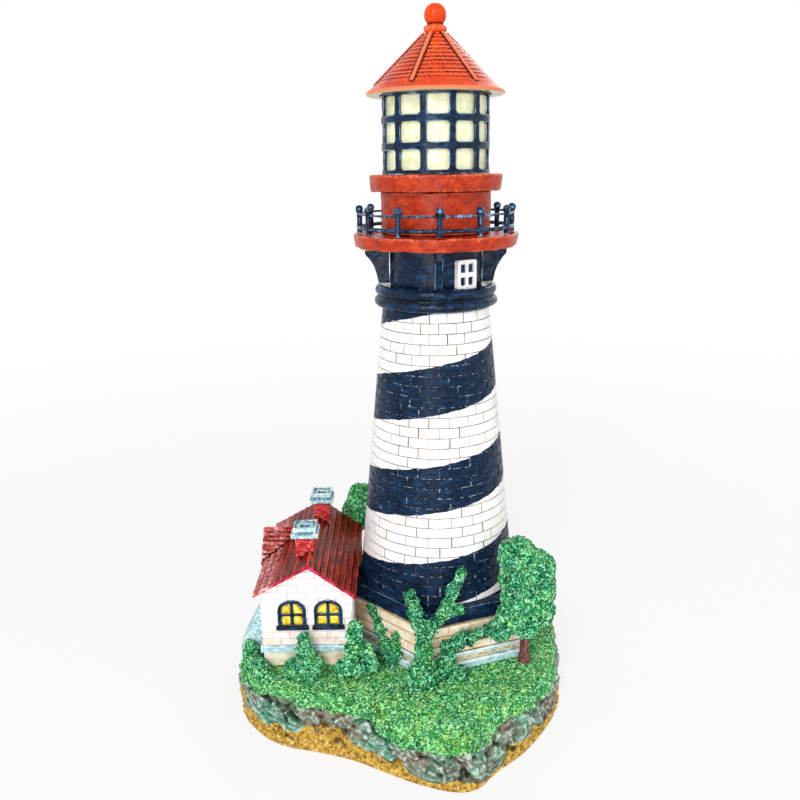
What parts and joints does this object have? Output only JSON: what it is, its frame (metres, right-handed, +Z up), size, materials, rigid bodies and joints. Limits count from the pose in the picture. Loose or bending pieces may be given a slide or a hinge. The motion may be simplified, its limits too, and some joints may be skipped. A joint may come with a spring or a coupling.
{
  "type": "garden lighthouse ornament",
  "caption": "Garden ornament with a striped brick lighthouse, railed gallery and lit lantern under a lift-off roof, beside a cottage on a rocky grass island.",
  "frame": {"origin": "where the tower's axis meets the ground, on the underside of the base plate", "axes": "+Z up the tower, -Y the front with the cottage to the left, +X to the viewer's right"},
  "size_m": [0.21, 0.2113, 0.4034],
  "materials": {
    "painted_island": "satin",
    "sky_blue_paint": "satin",
    "cream_stone": "matte",
    "navy_gloss_paint": "gloss",
    "striped_brick": "satin",
    "white_paint": "satin",
    "dark_glass_paint": "gloss",
    "brick_red_paint": "satin",
    "frosted_panes": "satin",
    "orange_red_plastic": "gloss",
    "white_brick": "satin",
    "roof_board_paint": "satin",
    "yellow_window_paint": "gloss",
    "bark_paint": "matte",
    "leaf_paint": "satin",
    "led_lens": "satin",
    "circuit_board": "satin",
    "black_plastic": "matte",
    "wire_sleeve": "satin",
    "foam_seal": "matte",
    "zinc_screw": "satin",
    "cell_jacket": "gloss",
    "nickel_contact": "satin"
  },
  "bodies": {
    "root": {"island_base": "painted_island", "kerb_lower": "sky_blue_paint", "kerb_upper": "sky_blue_paint", "stone_plinth": "cream_stone", "plinth_ledge": "navy_gloss_paint", "tower_shaft": "striped_brick", "neck_rings": "navy_gloss_paint", "corbel_drum": "navy_gloss_paint", "gallery_brackets": "navy_gloss_paint", "gallery_window": "white_paint", "gallery_window_glass": "dark_glass_paint", "gallery_deck": "brick_red_paint", "gallery_railing": "navy_gloss_paint", "watch_room": "brick_red_paint", "lantern_deck": "brick_red_paint", "lantern_cage": "navy_gloss_paint", "lantern_panes": "frosted_panes", "cottage_footing": "cream_stone", "cottage_band": "sky_blue_paint", "cottage_walls": "white_brick", "cottage_roof": "roof_board_paint", "chimney_front": "brick_red_paint", "chimney_front_cap": "sky_blue_paint", "chimney_rear": "brick_red_paint", "chimney_rear_cap": "sky_blue_paint", "window_left": "navy_gloss_paint", "window_right": "navy_gloss_paint", "window_left_glass": "yellow_window_paint", "window_right_glass": "yellow_window_paint", "cellar_hatch": "sky_blue_paint", "tree_trunk": "bark_paint", "tree_crown": "leaf_paint", "rear_tree_trunk": "bark_paint", "rear_tree_crown": "leaf_paint", "bush_front": "leaf_paint", "bush_corner": "leaf_paint", "hedge_left": "leaf_paint", "vine_front": "leaf_paint", "creeper_right": "leaf_paint", "vine_left": "leaf_paint", "led_lamp": "led_lens", "led_board": "circuit_board", "lamp_post": "black_plastic", "lamp_wire": "wire_sleeve", "battery_wire": "wire_sleeve", "base_plate": "black_plastic", "base_seal": "foam_seal", "base_screws": "zinc_screw", "battery_box": "black_plastic", "battery_cells": "cell_jacket", "battery_springs": "nickel_contact", "contact_plates": "nickel_contact", "door_hinge_pin": "nickel_contact", "switch_body": "black_plastic"},
    "roof": {"lantern_roof": "orange_red_plastic", "roof_finial": "orange_red_plastic"},
    "battery_door": {"battery_door": "black_plastic"},
    "switch_knob": {"switch_slider": "black_plastic"}
  },
  "joints": [
    {"name": "roof_lift", "type": "slide", "parent": "root", "child": "roof", "axis": [0, 0, 1], "range_m": [0, 0.06]},
    {"name": "battery_door_hinge", "type": "hinge", "parent": "root", "child": "battery_door", "pos_m": [-0.054, -0.04925, 0.0015], "axis": [-1, 0, 0], "range_deg": [0, 100]},
    {"name": "switch_slide", "type": "slide", "parent": "root", "child": "switch_knob", "axis": [1, 0, 0], "range_m": [0, 0.004]}
  ]
}
